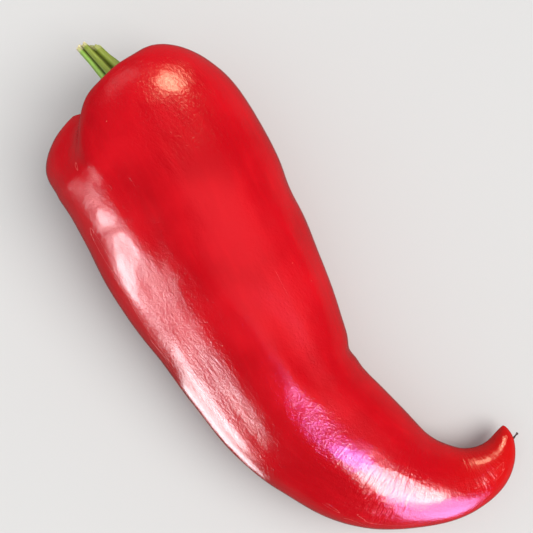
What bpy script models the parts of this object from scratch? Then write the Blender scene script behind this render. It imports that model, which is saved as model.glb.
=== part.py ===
"""Sweet pepper of the long, pointed, curved kind, lying on its side.

Metres, +Z up. +X runs from the stem to the tip, the tip curls towards +Y, the
surface that the pepper rests on is z = 0, and the origin is the middle of the
pepper's box on that surface. The fruit, the calyx, the stem and the dried style
at the tip are separate solids with a small gap between them.
"""

import math

import bmesh
import bpy
import numpy as np
from mathutils import Matrix, Vector

# Fruit
BODY_LENGTH = 0.210  # along the curved middle line, from the shoulder's crest to the nose
BODY_WIDTH = 0.067
BODY_HEIGHT = 0.050
SHOULDER_LENGTH = 0.020  # from the crest back to the full section
NOSE_LENGTH = 0.004
NOSE_RINGS = ((0.7, 0.72), (1, 0.3))  # (share of the nose's length, share of the section)
TIP_LIFT = 0.006  # the underside is bowed, so that the tip stands this far off the surface
REST_PLACE = 0.4  # share of the length at which the bowed underside is lowest
REST_CUT = 0.0007  # depth of the flat spot in the underside
PIT_DEPTH = 0.009
PIT_RADIUS = 0.017  # at the crest
PIT_SHIFT = 0.006  # the pit lies off the middle line, towards +Y
PIT_MARGIN = 0.0012  # floor left outside the calyx's seat

# (share of the length, heading of the middle line in degrees from +X)
HEADINGS = ((0, 10), (0.06, 4), (0.12, -4.5), (0.198, -12), (0.297, -11), (0.376, -8.5), (0.455, -11),
            (0.525, -7), (0.574, 1.5), (0.624, 13), (0.693, 18.2), (0.792, 36), (0.871, 60), (0.941, 99),
            (1, 140))
# (share of the length, share of the full width or height)
WIDTHS = ((0, 1.01), (0.1, 1), (0.248, 0.995), (0.396, 0.92), (0.515, 0.81), (0.594, 0.74), (0.634, 0.71),
          (0.733, 0.618), (0.832, 0.432), (0.891, 0.325), (0.941, 0.225), (1, 0.05))
HEIGHTS = ((0, 1), (0.12, 1), (0.25, 0.97), (0.396, 0.88), (0.515, 0.79), (0.634, 0.71), (0.733, 0.62),
           (0.832, 0.44), (0.891, 0.33), (0.941, 0.25), (1, 0.08))

# Furrows between the three lobes: angle at the stem end and where it fades (from +Y over the top, degrees),
# depth as a share of the radius, spread in degrees, reach as a share of the length, notch in the shoulder.
# The fourth and fifth slope the shoulder back, and the last is a swelling of the lobe at -Y.
FURROWS = (
    (136, 127, 0.085, 14, 0.15, 0.004),
    (236, 250, 0.07, 18, 0.3, 0.003),
    (350, 345, 0.05, 18, 0.25, 0.0015),
    (14, 12, 0.025, 24, 0.12, 0.003),
    (50, 50, 0, 26, 0.2, 0.001),
    (172, 176, -0.16, 30, 0.085, -0.0012),
)
NOTCH_REACH = 0.014

COLUMNS = 24  # points round a ring of the cage
SHOULDER_RINGS = 4
BODY_RINGS = 15
SHARP_ANGLE = 50  # degrees, above which an edge is shaded sharp

# Calyx
CALYX_RADIUS = 0.0095
CALYX_THICKNESS = 0.0018
EDGE_HEIGHT = 0.0007  # of the calyx's widest ring over its underside
CALYX_POINTS = 5
POINT_STEPS = 8  # points of the ring for each of the calyx's points
POINT_DEPTH = 0.0014  # between the calyx's points
HUB_HEIGHT = 0.0012  # of the raised middle that the stem stands on
HUB_MARGIN = 0.0008
SEAT_DEPTH = 0.0009
SEAT_CLEARANCE = 0.0005
SEAT_SEGMENTS = 40

# Stem
STEM_LENGTH = 0.0195
STEM_BASE_RADIUS = 0.0052
STEM_END_RADIUS = 0.0029
STEM_TAPER = 1.5  # power of the share that is left, so that the foot flares
STEM_RIBS = 5
RIB_DEPTH = 0.0005
CUT_SLOPE = 0.45  # the cut end leans by this much per metre across the stem
STEM_COLUMNS = 30
STEM_RINGS = 8

# Style, the dried thread at the blossom end
STYLE_LENGTH = 0.0027
STYLE_RADIUS = 0.00045  # at its root
STYLE_END_RADIUS = 0.00027
STYLE_HEADING = 87  # degrees from +X
STYLE_SEAT = 0.0009  # depth of its socket
STYLE_SEGMENTS = 12

GAP = 0.0003  # between pieces that touch


def smooth_through(place, stations):
    """The value at a place on the smooth curve through the stations."""
    places, values = np.array(stations, float).T
    slopes = np.gradient(values, places)
    i = int(np.clip(np.searchsorted(places, place) - 1, 0, len(places) - 2))
    span = places[i + 1] - places[i]
    f = (place - places[i]) / span
    near = (2 * f**3 - 3 * f**2 + 1) * values[i] + (f**3 - 2 * f**2 + f) * span * slopes[i]
    far = (3 * f**2 - 2 * f**3) * values[i + 1] + (f**3 - f**2) * span * slopes[i + 1]
    return float(near + far)


def middle_line(steps=400):
    """Distances, points and headings along the fruit's middle line, found by walking along the headings."""
    shares = np.linspace(0, 1, steps + 1)
    headings = np.radians([smooth_through(share, HEADINGS) for share in shares])
    ways = np.stack([np.cos(headings), np.sin(headings)], axis=1)
    strides = (ways[1:] + ways[:-1]) / 2 * BODY_LENGTH / steps
    points = np.concatenate([np.zeros((1, 2)), np.cumsum(strides, axis=0)])
    return shares * BODY_LENGTH, points, headings


MIDDLE_LINE = middle_line()


def on_middle_line(distance):
    """The point, the forward direction and the side direction at a distance along the middle line."""
    distances, points, headings = MIDDLE_LINE
    heading = np.interp(distance, distances, headings)
    share = min(max(distance / BODY_LENGTH, 0), 1)
    half_height = smooth_through(share, HEIGHTS) * BODY_HEIGHT / 2
    lift = TIP_LIFT * ((share - REST_PLACE) / (1 - REST_PLACE)) ** 2
    point = Vector((
        np.interp(distance, distances, points[:, 0]),
        np.interp(distance, distances, points[:, 1]),
        half_height + lift - REST_CUT,
    ))
    forward = Vector((math.cos(heading), math.sin(heading), 0))
    side = Vector((-math.sin(heading), math.cos(heading), 0))
    return point, forward, side


def furrow_at(distance, angle):
    """How deep the furrows cut, as a share of the radius, and how far they push the shoulder back."""
    dent = notch = 0
    for start, end, depth, spread, reach, back in FURROWS:
        along = min(max(distance / BODY_LENGTH / reach, 0), 1)
        off = (angle - start - (end - start) * along + 180) % 360 - 180
        across = math.exp(-((off / spread) ** 2))
        dent += depth * across * (1 + math.cos(math.pi * along)) / 2
        notch += back * across * math.exp(-((distance / NOTCH_REACH) ** 2))
    return dent, notch


def skin_point(distance, share, column):
    """A point of the fruit's cage, at a share of the section's radius from its centre.

    The body's section is flatter than it is wide, and the pit in its end is round.
    """
    angle = 360 * column / COLUMNS
    dent, notch = furrow_at(distance, angle)
    crest = PIT_RADIUS / (BODY_WIDTH / 2)
    distance = min(distance + notch * min(share / crest, 1) ** 2, BODY_LENGTH)
    point, forward, side = on_middle_line(distance)
    place = distance / BODY_LENGTH
    half_width = smooth_through(place, WIDTHS) * BODY_WIDTH / 2
    half_height = smooth_through(place, HEIGHTS) * BODY_HEIGHT / 2
    roundness = min((1 - share) / (1 - crest), 1) ** 2
    across = half_width * share * (1 - dent)
    upward = (half_height + (half_width - half_height) * roundness) * share * (1 - dent)
    centre = point + side * PIT_SHIFT * (1 - share**2) * (distance < SHOULDER_LENGTH)
    turn = math.radians(angle)
    return centre + side * across * math.cos(turn) + Vector((0, 0, upward)) * math.sin(turn)


def seat_radius():
    return CALYX_RADIUS + SEAT_CLEARANCE


def cage_rings():
    """(distance, share of the radius) of each ring, from the pit's floor over the shoulder to the nose."""
    half_width = BODY_WIDTH / 2
    floor = (seat_radius() + PIT_MARGIN) / half_width
    crest = PIT_RADIUS / half_width
    rings = [(PIT_DEPTH, floor / 2), (PIT_DEPTH, floor), (PIT_DEPTH / 2, (floor + crest) / 2), (0, crest)]
    for step in range(1, SHOULDER_RINGS + 1):
        turn = math.pi / 2 * step / SHOULDER_RINGS
        rings.append((SHOULDER_LENGTH * (1 - math.cos(turn)), crest + (1 - crest) * math.sin(turn)))
    nose_start = BODY_LENGTH - NOSE_LENGTH
    for step in range(1, BODY_RINGS + 1):
        rings.append((SHOULDER_LENGTH + (nose_start - SHOULDER_LENGTH) * step / BODY_RINGS, 1))
    for part, share in NOSE_RINGS:
        rings.append((nose_start + NOSE_LENGTH * part, share))
    return rings


def loft(mesh_name, rings):
    """A closed mesh through rings of points, each end closed by one face."""
    shape = bmesh.new()
    loops = [[shape.verts.new(point) for point in ring] for ring in rings]
    count = len(loops[0])
    for near, far in zip(loops, loops[1:]):
        for i in range(count):
            shape.faces.new((near[i], near[(i + 1) % count], far[(i + 1) % count], far[i]))
    shape.faces.new(reversed(loops[0]))
    shape.faces.new(loops[-1])
    bmesh.ops.recalc_face_normals(shape, faces=shape.faces)
    mesh = bpy.data.meshes.new(mesh_name)
    shape.to_mesh(mesh)
    shape.free()
    return mesh


def material(name, colour, roughness):
    made = bpy.data.materials.new(name)
    made.use_nodes = True
    shader = made.node_tree.nodes["Principled BSDF"]
    shader.inputs["Base Color"].default_value = (*colour, 1)
    shader.inputs["Roughness"].default_value = roughness
    shader.inputs["Metallic"].default_value = 0
    return made


def add_part(name, mesh, look):
    mesh.shade_smooth()
    mesh.set_sharp_from_angle(angle=math.radians(SHARP_ANGLE))
    mesh.materials.append(look)
    part = bpy.data.objects.new(name, mesh)
    part.parent = pepper
    parts.objects.link(part)
    return part


def add_cutter(name, mesh, frame):
    cutter = bpy.data.objects.new(name, mesh)
    cutter.parent = pepper
    cutter.matrix_basis = frame
    cutter.display_type = "WIRE"
    cutter.hide_render = True
    cutters.objects.link(cutter)
    return cutter


def cut(part, cutter):
    boolean = part.modifiers.new(cutter.name, "BOOLEAN")
    boolean.operation = "DIFFERENCE"
    boolean.object = cutter


def rod_mesh(name, near_radius, far_radius, length, segments):
    """A closed rod or cone that starts at its origin and runs along +Z."""
    shape = bmesh.new()
    bmesh.ops.create_cone(shape, cap_ends=True, segments=segments, radius1=near_radius, radius2=far_radius,
                          depth=length, matrix=Matrix.Translation((0, 0, length / 2)))
    mesh = bpy.data.meshes.new(name)
    shape.to_mesh(mesh)
    shape.free()
    return mesh


def frame_along(origin, direction):
    """The frame whose +Z is the direction and whose +Y is as near up as it can be."""
    along = direction.normalized()
    across = Vector((0, 0, 1)).cross(along).normalized()
    upward = along.cross(across)
    axes = Matrix((across, upward, along)).transposed().to_4x4()
    return Matrix.Translation(origin) @ axes


def seat_frame():
    """The calyx's seat in the pit: its floor's middle, with +Z out of the fruit along the stem."""
    point, forward, side = on_middle_line(PIT_DEPTH)
    return frame_along(point + side * PIT_SHIFT + forward * SEAT_DEPTH, -forward)


def style_frame(fruit):
    """The bottom of the style's socket, just under the skin of the nose, with +Z out along the style."""
    middle, _, _ = on_middle_line(BODY_LENGTH - NOSE_LENGTH)
    heading = math.radians(STYLE_HEADING)
    outward = Vector((math.cos(heading), math.sin(heading), 0))
    skin = fruit.evaluated_get(bpy.context.evaluated_depsgraph_get())
    _, root, _, _ = skin.ray_cast(middle, outward)
    return frame_along(root - outward * STYLE_SEAT, outward)


def make_fruit():
    """The red fruit, one solid, with the calyx's seat, the style's socket and the flat spot cut into it."""
    rings = [[skin_point(distance, share, i) for i in range(COLUMNS)] for distance, share in cage_rings()]
    fruit = add_part("fruit", loft("fruit", rings), material("red skin", (0.62, 0.006, 0.01), 0.22))
    smoothing = fruit.modifiers.new("smoothing", "SUBSURF")
    smoothing.levels = smoothing.render_levels = 1
    socket_frame = style_frame(fruit)

    seat_height = PIT_DEPTH + SEAT_DEPTH
    seat = rod_mesh("calyx_seat", seat_radius(), seat_radius(), seat_height, SEAT_SEGMENTS)
    cut(fruit, add_cutter("calyx_seat", seat, seat_frame()))

    socket_radius = STYLE_RADIUS + GAP
    socket = rod_mesh("style_socket", socket_radius, socket_radius, STYLE_LENGTH, STYLE_SEGMENTS)
    cut(fruit, add_cutter("style_socket", socket, socket_frame))

    slab = bmesh.new()
    bmesh.ops.create_cube(slab, size=1)
    bmesh.ops.scale(slab, verts=slab.verts, vec=(3 * BODY_LENGTH, 3 * BODY_LENGTH, BODY_HEIGHT))
    ground = bpy.data.meshes.new("rest_plane")
    slab.to_mesh(ground)
    slab.free()
    cut(fruit, add_cutter("rest_plane", ground, Matrix.Translation((0, 0, -BODY_HEIGHT / 2))))
    return socket_frame


def pointed_ring(radius, height, point_depth):
    """A ring with the calyx's points, their tips at the radius."""
    ring = []
    count = CALYX_POINTS * POINT_STEPS
    for i in range(count):
        angle = 2 * math.pi * i / count
        reach = radius - point_depth * (1 - math.cos(CALYX_POINTS * angle)) / 2
        ring.append(Vector((reach * math.cos(angle), reach * math.sin(angle), height)))
    return ring


def make_calyx():
    hub_radius = STEM_BASE_RADIUS + HUB_MARGIN
    rings = [
        pointed_ring(CALYX_RADIUS - EDGE_HEIGHT, 0, POINT_DEPTH),
        pointed_ring(CALYX_RADIUS, EDGE_HEIGHT, POINT_DEPTH),
        pointed_ring((CALYX_RADIUS + hub_radius) / 2, CALYX_THICKNESS, POINT_DEPTH / 3),
        pointed_ring(hub_radius, CALYX_THICKNESS + HUB_HEIGHT, 0),
    ]
    calyx = add_part("calyx", loft("calyx", rings), material("calyx green", (0.16, 0.3, 0.03), 0.5))
    calyx.matrix_basis = seat_frame() @ Matrix.Translation((0, 0, GAP))


def make_stem():
    rings = []
    for step in range(STEM_RINGS):
        share = step / (STEM_RINGS - 1)
        radius = STEM_END_RADIUS + (STEM_BASE_RADIUS - STEM_END_RADIUS) * (1 - share) ** STEM_TAPER
        ring = []
        for i in range(STEM_COLUMNS):
            angle = 2 * math.pi * i / STEM_COLUMNS
            reach = radius - RIB_DEPTH * (1 - math.cos(STEM_RIBS * angle)) / 2
            spot = Vector((reach * math.cos(angle), reach * math.sin(angle), share * STEM_LENGTH))
            spot.z += CUT_SLOPE * spot.x * share
            ring.append(spot)
        rings.append(ring)
    stem = add_part("stem", loft("stem", rings), material("stem green", (0.24, 0.36, 0.05), 0.55))
    foot = 2 * GAP + CALYX_THICKNESS + HUB_HEIGHT
    stem.matrix_basis = seat_frame() @ Matrix.Translation((0, 0, foot))


def make_style(socket_frame):
    mesh = rod_mesh("style_tip", STYLE_RADIUS, STYLE_END_RADIUS, STYLE_LENGTH, STYLE_SEGMENTS)
    style = add_part("style_tip", mesh, material("dried style", (0.05, 0.02, 0.012), 0.8))
    style.matrix_basis = socket_frame @ Matrix.Translation((0, 0, GAP))


def centre_on_origin():
    """Moves the whole pepper so that the middle of its box's underside is the origin."""
    graph = bpy.context.evaluated_depsgraph_get()
    points = []
    for part in parts.objects:
        if part.type == "MESH":
            points += [part.matrix_world @ vertex.co for vertex in part.evaluated_get(graph).data.vertices]
    low = [min(point[axis] for point in points) for axis in range(3)]
    high = [max(point[axis] for point in points) for axis in range(3)]
    pepper.location = (-(low[0] + high[0]) / 2, -(low[1] + high[1]) / 2, -low[2])


for leftover in list(bpy.data.objects):
    bpy.data.objects.remove(leftover)
parts = bpy.data.collections.new("pointed_sweet_pepper")
cutters = bpy.data.collections.new("cutters")
bpy.context.scene.collection.children.link(parts)
bpy.context.scene.collection.children.link(cutters)
pepper = bpy.data.objects.new("pepper", None)
parts.objects.link(pepper)

style_socket = make_fruit()
make_calyx()
make_stem()
make_style(style_socket)
centre_on_origin()
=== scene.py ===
import bpy
import math
import numpy as np
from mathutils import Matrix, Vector


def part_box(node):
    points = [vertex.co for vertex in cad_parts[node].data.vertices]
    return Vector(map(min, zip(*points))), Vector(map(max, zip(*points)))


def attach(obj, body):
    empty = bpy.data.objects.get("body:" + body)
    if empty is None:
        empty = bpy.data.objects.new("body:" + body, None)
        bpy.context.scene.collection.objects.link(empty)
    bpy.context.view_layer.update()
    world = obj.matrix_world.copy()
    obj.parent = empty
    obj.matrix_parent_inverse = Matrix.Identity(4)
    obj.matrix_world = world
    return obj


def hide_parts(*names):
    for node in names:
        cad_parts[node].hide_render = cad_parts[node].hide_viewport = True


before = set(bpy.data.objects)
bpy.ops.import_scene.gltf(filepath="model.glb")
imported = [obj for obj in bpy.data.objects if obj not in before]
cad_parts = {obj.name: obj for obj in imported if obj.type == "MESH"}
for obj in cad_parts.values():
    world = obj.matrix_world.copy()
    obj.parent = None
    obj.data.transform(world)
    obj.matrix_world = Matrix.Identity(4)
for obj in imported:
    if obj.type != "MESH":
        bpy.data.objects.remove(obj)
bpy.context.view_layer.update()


def through(at, stations):
    # smooth curve through (place, value) stations: between two of them a cubic with their values,
    # and at each the slope of its neighbours
    places, values = np.array(stations, float).T
    slopes = np.gradient(values, places)
    left = np.clip(np.searchsorted(places, at) - 1, 0, len(places) - 2)
    span = places[left + 1] - places[left]
    x = (at - places[left]) / span
    near = (2 * x**3 - 3 * x**2 + 1) * values[left] + (x**3 - 2 * x**2 + x) * span * slopes[left]
    far = (3 * x**2 - 2 * x**3) * values[left + 1] + (x**3 - x**2) * span * slopes[left + 1]
    return near + far


def easeStep(x):
    # 0 below 0, 1 above 1, and 3x^2 - 2x^3 between
    x = np.clip(x, 0, 1)
    return x * x * (3 - 2 * x)


def bell(off, width):
    # e to the minus (off / width) squared
    return np.exp(-((off / width) ** 2))


def turnApart(a, b):
    # difference of two angles in degrees, between -180 and 180
    return (a - b + 180) % 360 - 180


latticeNumbers = 4096  # how many random numbers the lattice shares out
latticePrimes = (73856093, 19349663, 83492791)  # they scatter the numbers over the lattice


def softNoise(points, size, seed):
    # random numbers from -1 to 1 at the corners of a lattice of this size, eased from corner to corner
    numbers = np.random.default_rng(seed).uniform(-1, 1, latticeNumbers)
    cell = np.floor(points / size).astype(np.int64)
    eased = easeStep(points / size - cell)
    total = np.zeros(points.shape[:-1])
    for corner in range(8):
        step = np.array([corner & 1, corner >> 1 & 1, corner >> 2 & 1])
        scattered = np.bitwise_xor.reduce((cell + step) * latticePrimes, axis=-1)
        weight = np.prod(np.where(step, eased, 1 - eased), axis=-1)
        total += weight * numbers[scattered % latticeNumbers]
    return total


def ringMesh(name, points, marks=None):
    # points[row, column] are closed rings: four-sided faces join each ring to the next,
    # and the first and last ring are closed by triangles to their middle
    rows, columns = points.shape[:2]
    index = np.arange(rows * columns).reshape(rows, columns)
    beside = np.roll(index, -1, axis=1)
    quads = np.stack([index[:-1], beside[:-1], beside[1:], index[1:]], axis=-1).reshape(-1, 4)
    first, last = rows * columns, rows * columns + 1
    startFan = np.stack([np.full(columns, first), beside[0], index[0]], axis=-1)
    endFan = np.stack([np.full(columns, last), index[-1], beside[-1]], axis=-1)
    allPoints = np.concatenate([points.reshape(-1, 3), [points[0].mean(axis=0)], [points[-1].mean(axis=0)]])
    mesh = bpy.data.meshes.new(name)
    mesh.from_pydata(allPoints.tolist(), [], quads.tolist() + startFan.tolist() + endFan.tolist())
    # a mark is a value or a vector for each point, which the material reads by its name
    for title, values in (marks or {}).items():
        values = np.asarray(values, float)
        flat = values.reshape(rows * columns, -1)
        flat = np.concatenate([flat, [values[0].reshape(columns, -1).mean(axis=0)],
                               [values[-1].reshape(columns, -1).mean(axis=0)]])
        kind, slot = ("FLOAT_VECTOR", "vector") if flat.shape[1] == 3 else ("FLOAT", "value")
        mesh.attributes.new(title, kind, "POINT").data.foreach_set(slot, flat.ravel())
    mesh.shade_smooth()
    piece = bpy.data.objects.new(name, mesh)
    bpy.context.scene.collection.objects.link(piece)
    return piece


def addPiece(piece, material, node):
    piece.data.materials.append(material)
    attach(piece, "root")
    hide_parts(node)


def put(tree, kind, inputs=None, **settings):
    # a new node; an input given a socket is linked to it, any other input takes the value
    node = tree.nodes.new(kind)
    for title, value in settings.items():
        setattr(node, title, value)
    for title, value in (inputs or {}).items():
        if isinstance(value, bpy.types.NodeSocket):
            tree.links.new(value, node.inputs[title])
        else:
            node.inputs[title].default_value = value
    return node


def calculate(tree, operation, *values, clamp=False):
    inputs = dict(enumerate(values))
    return put(tree, "ShaderNodeMath", inputs, operation=operation, use_clamp=clamp).outputs[0]


def spread(tree, value, low, high, toLow=0.0, toHigh=1.0, smooth=True):
    # the value from low to high becomes toLow to toHigh
    inputs = {"Value": value, "From Min": low, "From Max": high, "To Min": toLow, "To Max": toHigh}
    kind = "SMOOTHSTEP" if smooth else "LINEAR"
    return put(tree, "ShaderNodeMapRange", inputs, interpolation_type=kind).outputs[0]


def noise(tree, vector, scale, detail, distortion=0.0):
    inputs = {"Vector": vector, "Scale": scale, "Detail": detail, "Distortion": distortion}
    return put(tree, "ShaderNodeTexNoise", inputs).outputs[0]


def mark(tree, name, output="Fac"):
    # a mark that ringMesh has put on the piece
    return put(tree, "ShaderNodeAttribute", attribute_name=name).outputs[output]


def blend(tree, share, first, second):
    node = put(tree, "ShaderNodeMix", {"Factor": share}, data_type="RGBA")
    for socket, value in ((node.inputs[6], first), (node.inputs[7], second)):
        if isinstance(value, bpy.types.NodeSocket):
            tree.links.new(value, socket)
        else:
            socket.default_value = (*value, 1)
    return node.outputs[2]


def newGroup(name, inputs, outputs):
    tree = bpy.data.node_groups.new(name, "ShaderNodeTree")
    for title, kind, start in inputs:
        socket = tree.interface.new_socket(title, in_out="INPUT", socket_type="NodeSocket" + kind)
        if start is not None:
            socket.default_value = start
    for title in outputs:
        tree.interface.new_socket(title, in_out="OUTPUT", socket_type="NodeSocketFloat")
    return tree, tree.nodes.new("NodeGroupInput").outputs, tree.nodes.new("NodeGroupOutput")


def makeGrain():
    # fine grain of a given size in metres: a noise, and half as strong a finer one on it
    tree, given, out = newGroup("grain", [("Vector", "Vector", None), ("Size", "Float", 0.001),
                                          ("Detail", "Float", 3.0)], ["Height"])
    scale = calculate(tree, "DIVIDE", 1.0, given["Size"])
    coarse = noise(tree, given["Vector"], scale, given["Detail"])
    fine = noise(tree, given["Vector"], calculate(tree, "MULTIPLY", scale, 2.3), 1.0)
    height = calculate(tree, "ADD", coarse, calculate(tree, "MULTIPLY", fine, 0.5))
    tree.links.new(height, out.inputs["Height"])
    return tree


def makeFlecks():
    # round flecks, one in some of the cells of a given spacing, with soft edges
    tree, given, out = newGroup("flecks", [("Vector", "Vector", None), ("Spacing", "Float", 0.004),
                                           ("Radius", "Float", 0.05), ("Share", "Float", 0.3)], ["Mask"])
    scale = calculate(tree, "DIVIDE", 1.0, given["Spacing"])
    cells = put(tree, "ShaderNodeTexVoronoi", {"Vector": given["Vector"], "Scale": scale})
    edge = calculate(tree, "SUBTRACT", given["Radius"], cells.outputs["Distance"])
    inside = calculate(tree, "DIVIDE", edge, given["Radius"], clamp=True)
    pick = put(tree, "ShaderNodeSeparateColor", {"Color": cells.outputs["Color"]}).outputs[0]
    chosen = calculate(tree, "LESS_THAN", pick, given["Share"])
    tree.links.new(calculate(tree, "MULTIPLY", inside, chosen), out.inputs["Mask"])
    return tree


def makeHairlines():
    # thin lines where a noise crosses its middle value, kept only in patches where a second noise is high
    tree, given, out = newGroup("hairlines", [("Vector", "Vector", None), ("Size", "Float", 0.01),
                                              ("Width", "Float", 0.01), ("Cover", "Float", 0.5)], ["Mask"])
    scale = calculate(tree, "DIVIDE", 1.0, given["Size"])
    wave = noise(tree, given["Vector"], scale, 2.0, 0.4)
    off = calculate(tree, "ABSOLUTE", calculate(tree, "SUBTRACT", wave, 0.5))
    line = calculate(tree, "SUBTRACT", 1.0, calculate(tree, "DIVIDE", off, given["Width"]), clamp=True)
    patch = noise(tree, given["Vector"], calculate(tree, "MULTIPLY", scale, 0.8), 0.0)
    threshold = calculate(tree, "SUBTRACT", 1.0, given["Cover"])
    kept = calculate(tree, "GREATER_THAN", patch, threshold)
    tree.links.new(calculate(tree, "MULTIPLY", line, kept), out.inputs["Mask"])
    return tree


grain = makeGrain()
flecks = makeFlecks()
hairlines = makeHairlines()


def useGroup(tree, group, **inputs):
    return put(tree, "ShaderNodeGroup", inputs, node_tree=group).outputs[0]


def stretched(tree, vector, x, y, z):
    # the vector with each axis multiplied, so that a pattern on it is drawn out along the small ones
    return put(tree, "ShaderNodeVectorMath", {0: vector, 1: (x, y, z)}, operation="MULTIPLY").outputs[0]


def newMaterial(name, **values):
    material = bpy.data.materials.new(name)
    material.use_nodes = True
    shader = material.node_tree.nodes["Principled BSDF"]
    for title, value in values.items():
        shader.inputs[title.replace("_", " ")].default_value = value
    return material, material.node_tree, shader


def bumps(tree, shader, heights):
    # one bump after the other: (height, distance in metres, strength)
    normal = None
    for height, distance, strength in heights:
        node = put(tree, "ShaderNodeBump", {"Height": height, "Distance": distance, "Strength": strength})
        if normal is not None:
            tree.links.new(normal, node.inputs["Normal"])
        normal = node.outputs[0]
    tree.links.new(normal, shader.inputs["Normal"])


fruit = {
    "length": 0.210,  # along the curved middle line, crest to nose
    "width": 0.067,
    "height": 0.050,
    "shoulder": 0.020,  # how far the rounded shoulder reaches along the body
    "nose": 0.004,  # length of the rounded end
    "tipLift": 0.006,  # how high the tip is held off the floor
    "restPlace": 0.4,  # share of the length where it lies lowest
    "restCut": 0.0007,  # how much of the underside is pressed flat
    "restRounding": 0.0006,  # how softly the flat ends
    "pitDepth": 0.009,
    "pitRadius": 0.017,
    "pitShift": 0.006,  # how far the pit's middle lies off the body's, towards +Y
    "pitFloor": 0.0112,  # radius of the pit's flat floor
    "rows": (8, 26, 64, 286, 26),  # floor of the pit, its wall, shoulder, body, nose
    "columns": 224,
    # (share of the length, heading in degrees)
    "headings": ((0, 10), (0.06, 4), (0.12, -4.5), (0.198, -12), (0.297, -11), (0.376, -8.5),
                 (0.455, -11), (0.525, -7), (0.574, 1.5), (0.624, 12.5), (0.693, 17.8), (0.792, 36),
                 (0.871, 60), (0.941, 100), (1, 146)),
    # (share of the length, share of the full width or height)
    "widths": ((0, 1.01), (0.1, 1), (0.248, 0.995), (0.396, 0.92), (0.515, 0.81), (0.594, 0.74),
               (0.634, 0.71), (0.733, 0.618), (0.832, 0.432), (0.891, 0.325), (0.941, 0.225), (1, 0.05)),
    "heights": ((0, 1), (0.12, 1), (0.25, 0.97), (0.396, 0.88), (0.515, 0.79), (0.634, 0.71),
                (0.733, 0.62), (0.832, 0.44), (0.891, 0.33), (0.941, 0.25), (1, 0.08)),
    # furrows between the lobes: angle at the stem and where it fades, depth as a share of the radius,
    # spread in degrees, reach as a share of the length, how far it pushes the shoulder back;
    # those of no depth only shape the shoulder's edge, and the last one swells out as a lobe
    "furrows": (
        (136, 127, 0.055, 14, 0.15, 0.004),
        (236, 250, 0.07, 18, 0.3, 0.003),
        (350, 345, 0.05, 18, 0.25, 0.0015),
        (14, 12, 0.03, 24, 0.12, 0.0045),
        (55, 50, 0, 24, 0.2, 0.0022),
        (95, 95, 0, 26, 0.2, 0.0012),
        (172, 176, -0.16, 30, 0.085, -0.0012),
    ),
    "notchReach": 0.014,  # how far along the body the pushed back edge evens out
    # long soft folds of the skin: first place along and angle there, last place and angle there,
    # height in metres, spread in degrees
    "folds": (
        (0.03, 182, 0.36, 182, 0.0009, 22),
        (0.1, 134, 0.9, 126, -0.0022, 24),
        (0.16, 186, 0.85, 184, 0.0009, 16),
        (0.22, 106, 0.62, 70, 0.0007, 8),
        (0.1, 112, 0.3, 108, -0.0007, 9),
        (0.24, 40, 0.52, 36, 0.0006, 9),
        (0.36, 71, 0.6, 64, -0.0009, 12),
        (0.02, 122, 0.14, 118, 0.0005, 6),
        (0.3, 300, 0.7, 280, 0.0007, 12),
        (0.1, 200, 0.5, 205, -0.0006, 12),
    ),
    "foldEnds": 0.3,  # share of a fold's length in which it rises, and again in which it sinks
    # round dents and bumps: place along, angle, height, spread along, spread in degrees
    "dents": (
        (0.545, 8, -0.0011, 0.022, 26),
        (0.6, 12, -0.0003, 0.03, 24),
        (0.12, 82, -0.0004, 0.03, 12),
        (0.2, 70, -0.0004, 0.035, 14),
        (0.7, 150, 0.0005, 0.05, 25),
        (0.78, 100, -0.0005, 0.03, 25),
        (0.4, 165, -0.0005, 0.04, 20),
        (0.07, 11, -0.0009, 0.03, 25),
        (0.26, 5, -0.0008, 0.035, 25),
    ),
    # random unevenness: size and height in metres
    "waves": ((0.022, 0.00035), (0.009, 0.00012), (0.0035, 0.00003)),
    "waveSeed": 11,
    "smoothPit": (0.45, 0.85),  # share of the radius where folds and waves begin and are full
    "smoothTip": 0.06,  # share of the length in which they sink towards the nose
    # patches of fine creases: place along, angle, spread along, spread in degrees, strength
    "creases": (
        (0.42, 138, 0.05, 18, 0.5),
        (0.5, 148, 0.05, 16, 0.5),
        (0.755, 96, 0.035, 36, 1.0),
        (0.93, 60, 0.04, 40, 0.8),
        (0.1, 70, 0.03, 10, 0.1),
        (0.17, 82, 0.02, 12, 0.3),
        (0.65, 95, 0.02, 20, 0.5),
        (0.3, 240, 0.08, 20, 0.6),
        (0.62, 20, 0.05, 20, 0.6),
    ),
    "strayCreases": (0.016, 21, 0.25, 0.08),  # size of more patches, seed, strength in them and everywhere
    "creaseLean": -0.2,  # radians by which the creases lean off the length
    "crossCreases": (0.132, 0.146),  # metres along where creases across the body take over
    "scarSpread": 0.0009,  # the brown ring round the style
    # colours as linear red, green and blue
    "deepRed": (0.45, 0.0006, 0.005),
    "brightRed": (0.57, 0.001, 0.007),
    "streakRed": (0.62, 0.003, 0.009),
    "tipRed": (0.60, 0.006, 0.003),
    "tipStart": (0.165, 0.207),  # metres along where the tip's red begins and is full
    "scratchColour": (0.85, 0.12, 0.10),
    "paleFleckColour": (0.95, 0.45, 0.3),
    "darkFleckColour": (0.09, 0.004, 0.003),
    "scarColour": (0.16, 0.05, 0.015),
    "roughness": (0.14, 0.20),  # where the mottle is deep and where it is bright
    "coat": (0.35, 0.2),  # off the streaks and on them
}


def middleLine(shape, steps=2000):
    # the headings are followed from the crest in equal strides
    shares = np.linspace(0, 1, steps + 1)
    turns = np.radians(through(shares, shape["headings"]))
    ways = np.stack([np.cos(turns), np.sin(turns)], axis=1)
    strides = (ways[1:] + ways[:-1]) / 2 * shape["length"] / steps
    return shares, np.concatenate([np.zeros((1, 2)), np.cumsum(strides, axis=0)]), turns


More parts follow.
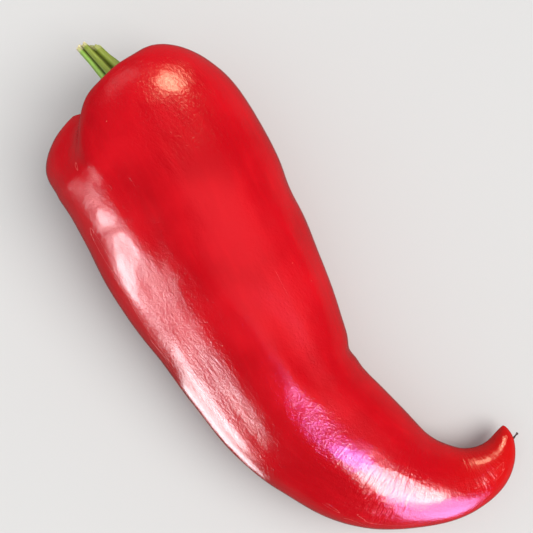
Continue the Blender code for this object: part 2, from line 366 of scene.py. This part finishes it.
def fruitProfile(shape):
    # distance along the middle line and share of the section's radius, from the pit's middle to the nose:
    # flat floor, half-cosine wall, quarter ellipse for the shoulder, straight body, quarter ellipse again
    half = shape["width"] / 2
    floor, crest = shape["pitFloor"] / half, shape["pitRadius"] / half
    counts = shape["rows"]
    steps = [np.arange(count) / count for count in counts]
    noseStart = shape["length"] - shape["nose"]
    quarter = math.pi / 2
    along = [np.full(counts[0], shape["pitDepth"]),
             shape["pitDepth"] * (1 + np.cos(math.pi * steps[1])) / 2,
             shape["shoulder"] * (1 - np.cos(quarter * steps[2])),
             shape["shoulder"] + (noseStart - shape["shoulder"]) * steps[3],
             noseStart + shape["nose"] * np.sin(quarter * steps[4])]
    share = [floor * (steps[0] + 0.5 / counts[0]),
             floor + (crest - floor) * steps[1],
             crest + (1 - crest) * np.sin(quarter * steps[2]),
             np.ones(counts[3]),
             np.cos(quarter * steps[4])]
    return np.concatenate(along), np.concatenate(share)


def fruitSurface(shape):
    # each point is the middle line's point, plus half the width times the angle's cosine to the side, plus
    # half the height times its sine upwards; furrows, folds and dents shorten or lengthen both
    along, share = fruitProfile(shape)
    angle = np.arange(shape["columns"]) * 360 / shape["columns"]
    along, angle = np.meshgrid(along, angle, indexing="ij")
    share = np.repeat(share[:, None], shape["columns"], axis=1)
    length = shape["length"]
    crest = shape["pitRadius"] / (shape["width"] / 2)

    dent = np.zeros_like(along)
    notch = np.zeros_like(along)
    for start, end, depth, spreadOut, reach, back in shape["furrows"]:
        part = np.clip(along / length / reach, 0, 1)
        across = bell(turnApart(angle, start + (end - start) * part), spreadOut)
        dent += depth * across * (1 + np.cos(math.pi * part)) / 2
        notch += back * across * bell(along, shape["notchReach"])
    along = np.minimum(along + notch * np.minimum(share / crest, 1) ** 2, length)
    place = along / length

    raised = np.zeros_like(along)
    for first, startAngle, last, endAngle, height, spreadOut in shape["folds"]:
        part = (place - first) / (last - first)
        inside = easeStep(part / shape["foldEnds"]) * easeStep((1 - part) / shape["foldEnds"])
        apart = turnApart(angle, startAngle + (endAngle - startAngle) * part)
        raised += height * inside * bell(apart, spreadOut)
    for spot, spotAngle, height, reach, spreadOut in shape["dents"]:
        raised += height * bell(place - spot, reach) * bell(turnApart(angle, spotAngle), spreadOut)

    shares, line, turns = middleLine(shape)
    turn = np.interp(place, shares, turns)
    side = np.stack([-np.sin(turn), np.cos(turn), np.zeros_like(turn)], axis=-1)
    halfWidth = through(place, shape["widths"]) * shape["width"] / 2
    halfHeight = through(place, shape["heights"]) * shape["height"] / 2
    lift = shape["tipLift"] * ((place - shape["restPlace"]) / (1 - shape["restPlace"])) ** 2
    middle = np.stack([np.interp(place, shares, line[:, 0]), np.interp(place, shares, line[:, 1]),
                       halfHeight + lift - shape["restCut"]], axis=-1)
    shift = shape["pitShift"] * (1 - share**2) * (along < shape["shoulder"])
    roundness = np.minimum((1 - share) / (1 - crest), 1) ** 2
    cosine, sine = np.cos(np.radians(angle)), np.sin(np.radians(angle))
    straight = np.stack([along, halfWidth * share * cosine, halfHeight * share * sine], axis=-1)
    for number, (size, height) in enumerate(shape["waves"]):
        raised += height * softNoise(straight, size, shape["waveSeed"] + number)
    begins, full = shape["smoothPit"]
    raised *= easeStep((share - begins) / (full - begins)) * easeStep((1 - place) / shape["smoothTip"])

    across = halfWidth * share * (1 - dent) + raised
    upward = (halfHeight + (halfWidth - halfHeight) * roundness) * share * (1 - dent) + raised
    points = middle + side * (shift + across * cosine)[..., None]
    points[..., 2] += upward * sine
    return points, straight


def fitToFrame(points, low, high):
    # the scale and offset that take the points' box to the solid's along X and Y, and its top to the solid's
    nearest, farthest = points.min(axis=(0, 1)), points.max(axis=(0, 1))
    scale = (high - low) / (farthest - nearest)
    scale[2] = high[2] / farthest[2]
    offset = low - nearest * scale
    offset[2] = 0
    return scale, offset


def settle(points, softness):
    # what would lie below the floor is pressed flat on it, with a rounded edge
    height = points[..., 2]
    blendIn = np.clip(0.5 + height / (2 * softness), 0, 1)
    points[..., 2] = height * blendIn + softness * blendIn * (1 - blendIn) / 2
    return points


fruitLow, fruitHigh = (np.array(corner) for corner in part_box("fruit"))
fruitPoints, fruitStraight = fruitSurface(fruit)
frameScale, frameOffset = fitToFrame(fruitPoints, fruitLow, fruitHigh)
fruitPoints = settle(fruitPoints * frameScale + frameOffset, fruit["restRounding"])


def creaseMask(shape, straight):
    # 0 where the skin is taut and 1 where it has shrunk into fine creases: patches by noise and listed places
    place = straight[..., 0] / shape["length"]
    angle = np.degrees(np.arctan2(straight[..., 2] / shape["height"], straight[..., 1] / shape["width"]))
    size, seed, inPatches, everywhere = shape["strayCreases"]
    creased = inPatches * easeStep((softNoise(straight, size, seed) - 0.1) / 0.5) + everywhere
    for spot, spotAngle, reach, spreadOut, strength in shape["creases"]:
        creased += strength * bell(place - spot, reach) * bell(turnApart(angle, spotAngle), spreadOut)
    return np.clip(creased, 0, 1)


def skinMaterial():
    # the patterns follow the point's place on the fruit as if it were straight
    material, tree, shader = newMaterial("redSkin", Roughness=0.18, IOR=1.45, Coat_Roughness=0.09,
                                         Subsurface_Weight=0.08, Subsurface_Scale=0.004,
                                         Subsurface_Radius=(1.0, 0.12, 0.06), Coat_IOR=1.5)
    straight = mark(tree, "straight", "Vector")
    along = put(tree, "ShaderNodeSeparateXYZ", {0: straight}).outputs[0]

    mottle = noise(tree, straight, 38.0, 3.0)
    streak = noise(tree, stretched(tree, straight, 60, 420, 420), 1.0, 3.0)
    colour = blend(tree, spread(tree, mottle, 0.35, 0.68), fruit["deepRed"], fruit["brightRed"])
    colour = blend(tree, spread(tree, streak, 0.45, 0.8, 0, 0.35), colour, fruit["streakRed"])
    colour = blend(tree, spread(tree, along, *fruit["tipStart"], 0, 0.6), colour, fruit["tipRed"])

    drawnOut = stretched(tree, straight, 0.12, 1, 1)
    scratches = useGroup(tree, hairlines, Vector=drawnOut, Size=0.010, Width=0.003, Cover=0.3)
    pale = useGroup(tree, flecks, Vector=straight, Spacing=0.006, Radius=0.035, Share=0.3)
    dark = useGroup(tree, flecks, Vector=straight, Spacing=0.021, Radius=0.022, Share=0.3)
    scar = mark(tree, "scar")
    colour = blend(tree, calculate(tree, "MULTIPLY", scratches, 0.4), colour, fruit["scratchColour"])
    colour = blend(tree, calculate(tree, "MULTIPLY", pale, 0.7), colour, fruit["paleFleckColour"])
    colour = blend(tree, calculate(tree, "MULTIPLY", dark, 0.85), colour, fruit["darkFleckColour"])
    colour = blend(tree, scar, colour, fruit["scarColour"])
    tree.links.new(colour, shader.inputs["Base Color"])

    rough = spread(tree, mottle, 0.3, 0.7, *fruit["roughness"])
    rough = calculate(tree, "ADD", rough, calculate(tree, "MULTIPLY", scratches, 0.2))
    rough = calculate(tree, "ADD", rough, calculate(tree, "MULTIPLY", scar, 0.4), clamp=True)
    tree.links.new(rough, shader.inputs["Roughness"])
    tree.links.new(spread(tree, streak, 0.3, 0.7, *fruit["coat"]), shader.inputs["Coat Weight"])

    leaning = put(tree, "ShaderNodeVectorRotate", {"Vector": straight, "Angle": fruit["creaseLean"]},
                  rotation_type="Z_AXIS").outputs[0]
    lengthwise = noise(tree, stretched(tree, leaning, 260, 1100, 1100), 1.0, 5.0, 0.8)
    crosswise = noise(tree, stretched(tree, straight, 800, 170, 170), 1.0, 3.0, 0.3)
    crosswise = calculate(tree, "MULTIPLY", crosswise, 2.2)
    towardsTip = spread(tree, along, *fruit["crossCreases"])
    creases = put(tree, "ShaderNodeMix", {"Factor": towardsTip, "A": lengthwise, "B": crosswise}).outputs[0]
    creases = calculate(tree, "MULTIPLY", creases, mark(tree, "creased"))
    ripples = noise(tree, stretched(tree, straight, 90, 150, 150), 1.0, 2.0)
    fine = useGroup(tree, grain, Vector=straight, Size=0.0008, Detail=2.0)
    bumps(tree, shader, [(ripples, 0.001, 0.35), (creases, 0.0004, 0.8), (fine, 0.0002, 0.5),
                         (scratches, -0.00006, 0.6), (pale, 0.0001, 0.5)])
    return material


def makeFruit():
    marks = {
        "straight": fruitStraight,
        "scar": bell(np.linalg.norm(fruitPoints - styleRoot, axis=-1), fruit["scarSpread"]),
        "creased": creaseMask(fruit, fruitStraight),
    }
    skin = ringMesh("pepperSkin", fruitPoints, marks)
    addPiece(skin, skinMaterial(), "fruit")
    print("fruit:", len(skin.data.polygons), "faces")


seatTurn = math.radians(float(through(np.array(fruit["pitDepth"] / fruit["length"]), fruit["headings"])))
outOfPit = np.array([-math.cos(seatTurn), -math.sin(seatTurn), 0])
acrossPit = np.array([math.sin(seatTurn), -math.cos(seatTurn), 0])  # towards -Y, as seen from outside
calyxMiddle = np.mean([np.array(corner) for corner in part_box("calyx")], axis=0)
stemMiddle = np.mean([np.array(corner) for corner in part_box("stem")], axis=0)


def standUp(across, upward, outward, foot):
    # puts a shape made across, up and out of the pit where it stands
    return (foot + across[..., None] * acrossPit + upward[..., None] * np.array([0, 0, 1.0])
            + outward[..., None] * outOfPit)


calyx = {
    "radius": 0.0095,
    "thickness": 0.0018,
    "hubHeight": 0.0012,
    "points": 5,
    "pointDepth": 0.0014,
    "dipStart": 0.55,  # share of the radius where the dips between the points begin
    "veins": 10,
    "veinTurn": 0.4,  # radians by which the wave of the veins is shifted
    "veinHeight": 0.00016,
    "ripple": (0.003, 0.00012, 31),  # size, height and seed of the uneven top
    "columns": 200,
    # (share of the radius, share of the height) from the underside's middle over the edge to the hub's top
    "profile": ((0, 0), (0.5, 0), (0.9, 0.02), (1, 0.16), (0.985, 0.36), (0.9, 0.5), (0.76, 0.58),
                (0.66, 0.72), (0.6, 0.92), (0.54, 1), (0.3, 1), (0, 1)),
    "rows": 72,
    "darkGreen": (0.10, 0.21, 0.018),
    "paleGreen": (0.23, 0.37, 0.05),
    "dryRim": (0.20, 0.17, 0.03),
    "speckColour": (0.42, 0.5, 0.16),
    "roughness": (0.35, 0.6),
}


def calyxSurface(shape):
    # rings whose radius and height follow the profile; the radius dips between the points by half of one
    # minus the cosine of the points' angle, and low veins run out over the top
    stations = np.linspace(0, 1, len(shape["profile"]))
    radii, heights = np.array(shape["profile"]).T
    row = np.linspace(0.02, 0.98, shape["rows"])
    radius = through(row, list(zip(stations, radii)))
    height = np.clip(through(row, list(zip(stations, heights))), 0, 1)
    angle = np.arange(shape["columns"]) * 2 * math.pi / shape["columns"]
    radius, angle = np.meshgrid(radius, angle, indexing="ij")
    height = np.repeat(height[:, None], shape["columns"], axis=1)
    dip = shape["pointDepth"] * (1 - np.cos(shape["points"] * angle)) / 2
    reach = radius * (shape["radius"] - dip * easeStep((radius - shape["dipStart"]) / 0.4))
    # 1 on the upper side between the hub and the rim, 0 elsewhere
    top = easeStep((height - 0.3) / 0.2) * easeStep((radius - 0.6) / 0.1) * easeStep((1 - radius) / 0.1)
    total = shape["thickness"] + shape["hubHeight"]
    outward = height * total + shape["veinHeight"] * top * np.cos(shape["veins"] * angle + shape["veinTurn"])
    across, upward = reach * np.cos(angle), reach * np.sin(angle)
    size, rippleHeight, seed = shape["ripple"]
    outward += rippleHeight * softNoise(np.stack([across, upward, outward], axis=-1), size, seed) * top
    foot = calyxMiddle - outOfPit * total / 2
    return standUp(across, upward, outward, foot), radius


def calyxMaterial():
    material, tree, shader = newMaterial("calyxGreen", Roughness=0.45, IOR=1.45)
    place = put(tree, "ShaderNodeTexCoord").outputs["Object"]
    mottle = noise(tree, place, 320.0, 4.0)
    colour = blend(tree, spread(tree, mottle, 0.35, 0.7), calyx["darkGreen"], calyx["paleGreen"])
    colour = blend(tree, spread(tree, mark(tree, "rim"), 0.8, 1.0, 0, 0.6), colour, calyx["dryRim"])
    specks = useGroup(tree, flecks, Vector=place, Spacing=0.0012, Radius=0.16, Share=0.35)
    colour = blend(tree, calculate(tree, "MULTIPLY", specks, 0.5), colour, calyx["speckColour"])
    tree.links.new(colour, shader.inputs["Base Color"])
    fine = useGroup(tree, grain, Vector=place, Size=0.0006, Detail=3.0)
    tree.links.new(spread(tree, fine, 0.4, 1.1, *calyx["roughness"]), shader.inputs["Roughness"])
    bumps(tree, shader, [(fine, 0.0001, 0.5)])
    return material


def makeCalyx():
    points, radius = calyxSurface(calyx)
    cap = ringMesh("calyxCap", points, {"rim": radius})
    addPiece(cap, calyxMaterial(), "calyx")
    print("calyx:", len(cap.data.polygons), "faces")


stem = {
    "length": 0.0195,
    "baseRadius": 0.0052,
    "endRadius": 0.0033,
    "taper": 1.5,  # the power with which it widens towards the foot
    "cutSlope": 0.15,  # how far the cut leans over, as a share of the way across
    # (angle of a groove between two ribs in degrees from -Y over the top, depth as a share of the radius)
    "grooves": ((8, 0.1), (48, 0.3), (102, 0.36), (160, 0.1), (228, 0.26), (295, 0.22)),
    "grooveSpread": 11,  # degrees
    "footGrooves": 0.55,  # how much of its depth a groove has at the foot
    "grooveFull": 0.25,  # share of the length where it has all of it
    "twist": 4,  # degrees from foot to cut
    "columns": 240,
    "rows": 110,
    "cutRows": 34,
    "shortRib": (198, 92, 0.0031),  # angle and half width of the rib that ends early, how much earlier
    "ribEdge": 8,  # degrees to each side in which its end evens out
    "lip": 0.0013,  # the dried lip round the cut
    "dish": 0.0007,  # how far the cut face has sunk
    "unevenRadius": 0.004,  # how wide and how long the stem counts where noise shapes it
    "uneven": ((0.0016, 0.00012, 41), (0.0006, 0.00006, 42)),  # size, height, seed
    "ragged": (0.003, 0.0007, 43),  # the same round the lip: width of the stem there, size, seed
    "dryFrom": 0.945,  # share of the length where the dried end begins
    # painted light and shade: the stem's -Y side is painted a paler lit green and its other side a painted
    # shade green
    "paintedShadeGreen": (0.23, 0.29, 0.03),
    "paintedLitGreen": (0.33, 0.58, 0.10),
    "paintedLitSide": (0.001, 0.0026),  # metres towards -Y where the painted light on the stem's lit side begins and is full
    "fibreGreen": (0.36, 0.50, 0.11),
    "mottleGreen": (0.20, 0.30, 0.03),
    # painted shade: a near-black green that darkens the grooves as if shade fell in them
    "grooveShadeGreen": (0.065, 0.085, 0.004),
    "dryBrown": (0.62, 0.50, 0.24),
    "dryCream": (0.90, 0.84, 0.58),
    "roughness": (0.38, 0.62),
}


def stemSurface(shape):
    # the radius falls from foot to cut with a power of what is left, each groove takes a bell-shaped bite
    # out of it, and the cut end runs on inwards to its middle, dished, with a ragged lip
    inward = np.linspace(0, 0.97, shape["cutRows"] + 1)[1:]
    share = np.concatenate([np.linspace(0, 1, shape["rows"]), np.ones(shape["cutRows"])])
    inside = np.concatenate([np.zeros(shape["rows"]), inward])
    angle = np.arange(shape["columns"]) * 360 / shape["columns"]
    share, angle = np.meshgrid(share, angle, indexing="ij")
    inside = np.repeat(inside[:, None], shape["columns"], axis=1)
    turn = np.radians(angle)
    cosine, sine = np.cos(turn), np.sin(turn)

    radius = shape["endRadius"] + (shape["baseRadius"] - shape["endRadius"]) * (1 - share) ** shape["taper"]
    bite = np.zeros_like(share)
    for grooveAngle, depth in shape["grooves"]:
        bite += depth * bell(turnApart(angle, grooveAngle + shape["twist"] * share), shape["grooveSpread"])
    bite *= shape["footGrooves"] + (1 - shape["footGrooves"]) * easeStep(share / shape["grooveFull"])
    rounded = np.stack([cosine, sine, share], axis=-1) * shape["unevenRadius"]
    uneven = sum(height * softNoise(rounded, size, seed) for size, height, seed in shape["uneven"])
    reach = (radius * (1 - bite) + uneven) * (1 - inside)
    across, upward = reach * cosine, reach * sine

    # the lip stands just inside the cut's edge, and the dish sinks from there to the middle
    width, size, seed = shape["ragged"]
    ragged = softNoise(np.stack([cosine, sine, inside], axis=-1) * width, size, seed)
    atLip = bell(inside - 0.08, 0.12) * (share >= 1)
    outward = share * shape["length"] + shape["cutSlope"] * across * share
    outward += atLip * shape["lip"] * (0.7 + 0.9 * ragged) - shape["dish"] * easeStep((inside - 0.15) / 0.5)
    ribAngle, ribHalf, shorter = shape["shortRib"]
    withinRib = ribHalf - np.abs(turnApart(angle, ribAngle))
    atRib = easeStep((withinRib + shape["ribEdge"]) / (2 * shape["ribEdge"]))
    outward -= shorter * atRib * easeStep((share - 0.4) / 0.6) * (1 - easeStep(inside / 0.7))
    dry = easeStep((share - shape["dryFrom"]) / 0.03) * (0.55 + 0.45 * (share >= 1)) * (1 - 0.7 * atRib)
    foot = stemMiddle - outOfPit * (shape["length"] / 2)
    # the groove mark sets how much painted shade each part of a groove gets
    marks = {"groove": bite / 0.3, "dry": dry, "local": np.stack([across, upward, outward], axis=-1)}
    return standUp(across, upward, outward, foot), marks


def stemMaterial():
    material, tree, shader = newMaterial("stemGreen", Roughness=0.5, IOR=1.45, Subsurface_Weight=0.06,
                                         Subsurface_Scale=0.002, Subsurface_Radius=(0.4, 1.0, 0.15))
    local = mark(tree, "local", "Vector")
    across = put(tree, "ShaderNodeSeparateXYZ", {0: local}).outputs[0]
    fibres = noise(tree, stretched(tree, local, 1800, 1800, 180), 1.0, 3.0)
    mottle = noise(tree, local, 420.0, 3.0)
    # painted light and shade: the stem is painted lighter on its -Y side and in a shade green on the other
    green = blend(tree, spread(tree, across, *stem["paintedLitSide"]), stem["paintedShadeGreen"], stem["paintedLitGreen"])
    green = blend(tree, spread(tree, fibres, 0.4, 0.75, 0, 0.4), green, stem["fibreGreen"])
    green = blend(tree, spread(tree, mottle, 0.45, 0.75, 0, 0.4), green, stem["mottleGreen"])
    # painted shade darkens the grooves by their depth
    green = blend(tree, spread(tree, mark(tree, "groove"), 0.25, 0.95, 0, 0.85), green, stem["grooveShadeGreen"])
    dried = blend(tree, spread(tree, fibres, 0.35, 0.65), stem["dryBrown"], stem["dryCream"])
    tree.links.new(blend(tree, mark(tree, "dry"), green, dried), shader.inputs["Base Color"])
    fine = useGroup(tree, grain, Vector=local, Size=0.0005, Detail=3.0)
    drawnOut = stretched(tree, local, 1, 1, 0.1)
    hair = useGroup(tree, hairlines, Vector=drawnOut, Size=0.0012, Width=0.03, Cover=0.6)
    tree.links.new(spread(tree, fine, 0.4, 1.1, *stem["roughness"]), shader.inputs["Roughness"])
    bumps(tree, shader, [(fibres, 0.00018, 0.6), (fine, 0.00006, 0.6), (hair, -0.00005, 0.5)])
    return material


def makeStem():
    stalk = ringMesh("stalk", *stemSurface(stem))
    addPiece(stalk, stemMaterial(), "stem")
    print("stem:", len(stalk.data.polygons), "faces")


style = {
    "length": 0.0028,
    "rootRadius": 0.00045,
    "endRadius": 0.00026,
    "thinAt": 0.6,  # share of the length where it has thinned to the end's radius
    "knobRadius": 0.00042,
    "knobPlace": 0.86,
    "knobSpread": 0.1,
    "roundEnd": 0.07,  # share of the length in which the end closes
    "sunk": 0.2,  # share of the length that lies in the skin
    "heading": 87,  # degrees
    "bend": 0.0004,  # how far its end is bent to the side
    "wave": 0.0001,
    "unevenRadius": 0.0004,  # how wide the thread counts where noise shapes it
    "uneven": (0.00025, 0.22, 51),  # size, share of the radius, seed
    "rows": 40,
    "columns": 24,
    "darkBrown": (0.012, 0.006, 0.004),
    "paleBrown": (0.10, 0.045, 0.02),
    "roughness": (0.65, 0.95),
}
styleMiddle = np.mean([np.array(corner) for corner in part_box("style_tip")], axis=0)
styleWay = np.array([math.cos(math.radians(style["heading"])), math.sin(math.radians(style["heading"])), 0])
styleSide = np.array([-styleWay[1], styleWay[0], 0])
styleRoot = styleMiddle - styleWay * style["length"] * (0.5 - style["sunk"])  # where it leaves the skin


def styleSurface(shape):
    # a thread that thins from root to end and swells there to a knob; its middle bows to the side by one
    # minus the cosine of a quarter turn, less a small sine wave, and its end closes as a quarter ellipse
    share = np.linspace(0, 1, shape["rows"])
    angle = np.arange(shape["columns"]) * 2 * math.pi / shape["columns"]
    share, angle = np.meshgrid(share, angle, indexing="ij")
    cosine, sine = np.cos(angle), np.sin(angle)
    thinning = shape["endRadius"] - shape["rootRadius"]
    swelling = shape["knobRadius"] - shape["endRadius"]
    radius = shape["rootRadius"] + thinning * easeStep(share / shape["thinAt"])
    radius += swelling * bell(share - shape["knobPlace"], shape["knobSpread"])
    closing = np.maximum((share - 1) / shape["roundEnd"] + 1, 0)
    radius *= np.sqrt(np.maximum(1 - closing**2, 0.02))
    size, roughened, seed = shape["uneven"]
    width = shape["unevenRadius"]
    even = np.stack([width * cosine, width * sine, share * shape["length"]], axis=-1)
    radius *= 1 + roughened * softNoise(even, size, seed)
    bow = shape["bend"] * (1 - np.cos(math.pi / 2 * share)) - shape["wave"] * np.sin(math.pi * 2 * share)
    onward = (share - 0.5) * shape["length"]
    sideways, upward = bow + radius * cosine, radius * sine
    points = (styleMiddle + styleWay * onward[..., None] + styleSide * sideways[..., None]
              + np.array([0, 0, 1.0]) * upward[..., None])
    return points[::-1]  # from end to root, so that the faces point outwards


def styleMaterial():
    material, tree, shader = newMaterial("driedStyle", Roughness=0.8)
    place = put(tree, "ShaderNodeTexCoord").outputs["Object"]
    mottle = noise(tree, place, 2600.0, 3.0)
    colour = blend(tree, spread(tree, mottle, 0.35, 0.7), style["darkBrown"], style["paleBrown"])
    tree.links.new(colour, shader.inputs["Base Color"])
    fine = useGroup(tree, grain, Vector=place, Size=0.0002, Detail=3.0)
    tree.links.new(spread(tree, fine, 0.4, 1.1, *style["roughness"]), shader.inputs["Roughness"])
    bumps(tree, shader, [(fine, 0.00005, 0.8)])
    return material


def makeStyle():
    thread = ringMesh("styleThread", styleSurface(style))
    addPiece(thread, styleMaterial(), "style_tip")
    print("style:", len(thread.data.polygons), "faces")


makeFruit()
makeCalyx()
makeStem()
makeStyle()


studio = {
    "floorSize": 20.0,
    "floorColour": (0.58, 0.575, 0.565),
    "floorCloud": 0.97,  # brightness of its clouds, as a share of the floor's
    "floorMirrored": (0.13, 0.10, 0.095),  # the duller floor that shows in the skin
    "backdrop": (0.95, 0.97, 1.0),
    "backdropSeen": 0.85,  # its strength for the camera
    "fill": 0.75,  # its strength as light
    "mirroredFill": 0.03,  # its strength in the skin
    "skyPlace": (50, 58),  # azimuth and elevation of the soft sky lamp
    "skyStrength": 2.6,
    "skyAngle": 50,  # how wide it is, in degrees
    "skyColour": (1.0, 0.98, 0.96),
}


def makeFloor():
    material, tree, shader = newMaterial("paleFloor", Roughness=0.9, Specular_IOR_Level=0.0)
    place = put(tree, "ShaderNodeTexCoord").outputs["Object"]
    cloud = noise(tree, place, 9.0, 5.0)
    base = studio["floorColour"]
    colour = blend(tree, cloud, tuple(studio["floorCloud"] * part for part in base), base)
    mirrored = put(tree, "ShaderNodeLightPath").outputs["Is Glossy Ray"]
    colour = blend(tree, mirrored, colour, studio["floorMirrored"])
    tree.links.new(colour, shader.inputs["Base Color"])
    half = studio["floorSize"] / 2
    corners = [(-half, -half, 0), (half, -half, 0), (half, half, 0), (-half, half, 0)]
    mesh = bpy.data.meshes.new("floor")
    mesh.from_pydata(corners, [], [(0, 1, 2, 3)])
    mesh.materials.append(material)
    floor = bpy.data.objects.new("floor", mesh)
    bpy.context.scene.collection.objects.link(floor)


# the panels and panes are only mirrored in the glossy skin: the sky lamp and the backdrop light everything.
# name: ((what it faces, azimuth and elevation from there in degrees, distance),
#        (shape, size, radiance, colour))
lights = {
    "leftCurtain": (((-0.032, -0.022, 0.04), (-93, 11), 0.40),
                    ("ELLIPSE", (0.055, 0.16), 21.0, (0.97, 0.94, 0.98))),
    "leftMiddle": (((-0.015, -0.022, 0.04), (-82, 13), 0.40),
                   ("RECTANGLE", (0.145, 0.17), 2.4, (0.95, 0.88, 1.0))),
    "leftLow": (((0.03, -0.035, 0.03), (-81.5, 3), 0.30),
                ("RECTANGLE", (0.09, 0.11), 20.0, (0.97, 0.97, 1.0))),
    "floorCard": (((0.032, -0.155, 0.1), (-90, -89.9), 0.098),
                  ("RECTANGLE", (0.05, 0.19), 7.0, (0.97, 0.97, 1.0))),
    "violetPane": (((0.056, -0.010, 0.034), (-2, 59), 0.12),
                   ("ELLIPSE", (0.075, 0.028), 18.0, (0.42, 0.2, 1.0))),
    "whitePane": (((0.068, -0.006, 0.112), (0, 0), 0.08),
                  ("ELLIPSE", (0.10, 0.115), 18.0, (1.0, 0.95, 0.97))),
    "pinkPane": (((0.068, -0.002, 0.042), (0, 0), 0.08),
                 ("ELLIPSE", (0.058, 0.066), 9.0, (0.72, 0.42, 1.0))),
    "lamp": (((0.0, 0.02, 0.03), (121, 35), 1.5),
             ("ELLIPSE", (0.60, 0.56), 16.0, (1.0, 0.72, 0.46))),
    "lampGlow": (((0.0, 0.02, 0.03), (119, 46), 1.5),
                 ("ELLIPSE", (0.8, 0.8), 0.6, (1.0, 0.74, 0.55))),
    "stemWall": (((-0.077, 0.008, 0.047), (170, 28), 0.5),
                 ("RECTANGLE", (0.30, 0.10), 1.2, (1.0, 0.95, 0.95))),
}


def wayTo(azimuth, elevation):
    # the direction with this azimuth and elevation in degrees
    turn, rise = math.radians(azimuth), math.radians(elevation)
    return Vector((math.cos(turn) * math.cos(rise), math.sin(turn) * math.cos(rise), math.sin(rise)))


def makeLights():
    for name, ((target, direction, distance), (shape, size, radiance, colour)) in lights.items():
        way = wayTo(*direction)
        data = bpy.data.lights.new(name, "AREA")
        data.shape = shape
        data.size, data.size_y = size
        data.energy = radiance * math.pi * size[0] * size[1]  # so that size leaves the brightness as it is
        data.color = colour
        light = bpy.data.objects.new(name, data)
        light.location = Vector(target) + way * distance
        light.rotation_euler = way.to_track_quat("Z", "Y").to_euler()
        light.visible_camera = False
        light.visible_diffuse = False
        bpy.context.scene.collection.objects.link(light)


def makeSky():
    data = bpy.data.lights.new("sky", "SUN")
    data.energy = studio["skyStrength"]
    data.angle = math.radians(studio["skyAngle"])
    data.color = studio["skyColour"]
    sky = bpy.data.objects.new("sky", data)
    azimuth, elevation = studio["skyPlace"]
    sky.rotation_euler = (math.radians(90 - elevation), 0, math.radians(azimuth + 90))
    sky.visible_glossy = False
    bpy.context.scene.collection.objects.link(sky)


def makeBackdrop():
    # one colour all round, with one strength as light, one seen by the camera and one mirrored in the skin
    world = bpy.data.worlds.new("studio")
    bpy.context.scene.world = world
    world.use_nodes = True
    tree = world.node_tree
    background = tree.nodes["Background"]
    path = put(tree, "ShaderNodeLightPath").outputs
    fills = studio["fill"], studio["mirroredFill"]
    strength = spread(tree, path["Is Glossy Ray"], 0, 1, *fills, smooth=False)
    seen = calculate(tree, "MULTIPLY", path["Is Camera Ray"], studio["backdropSeen"] - studio["fill"])
    tree.links.new(calculate(tree, "ADD", strength, seen), background.inputs["Strength"])
    background.inputs["Color"].default_value = (*studio["backdrop"], 1)


camera = {
    "place": (-0.0082, 0.0074, 0.308),
    "roll": 51.8,  # degrees
    "lens": 60.0,
    "nearest": 0.01,  # metres where its view begins
}


def makeCamera():
    # it looks straight down, rolled about its own line of sight
    data = bpy.data.cameras.new("camera")
    data.lens = camera["lens"]
    data.clip_start = camera["nearest"]
    view = bpy.data.objects.new("camera", data)
    view.location = camera["place"]
    view.rotation_euler = (0, 0, math.radians(camera["roll"]))
    bpy.context.scene.collection.objects.link(view)
    bpy.context.scene.camera = view


makeFloor()
makeLights()
makeSky()
makeBackdrop()
makeCamera()
bpy.context.scene.view_settings.view_transform = "Standard"
print("studio: floor, sky, backdrop,", len(lights), "lights and camera")

bpy.context.view_layer.update()
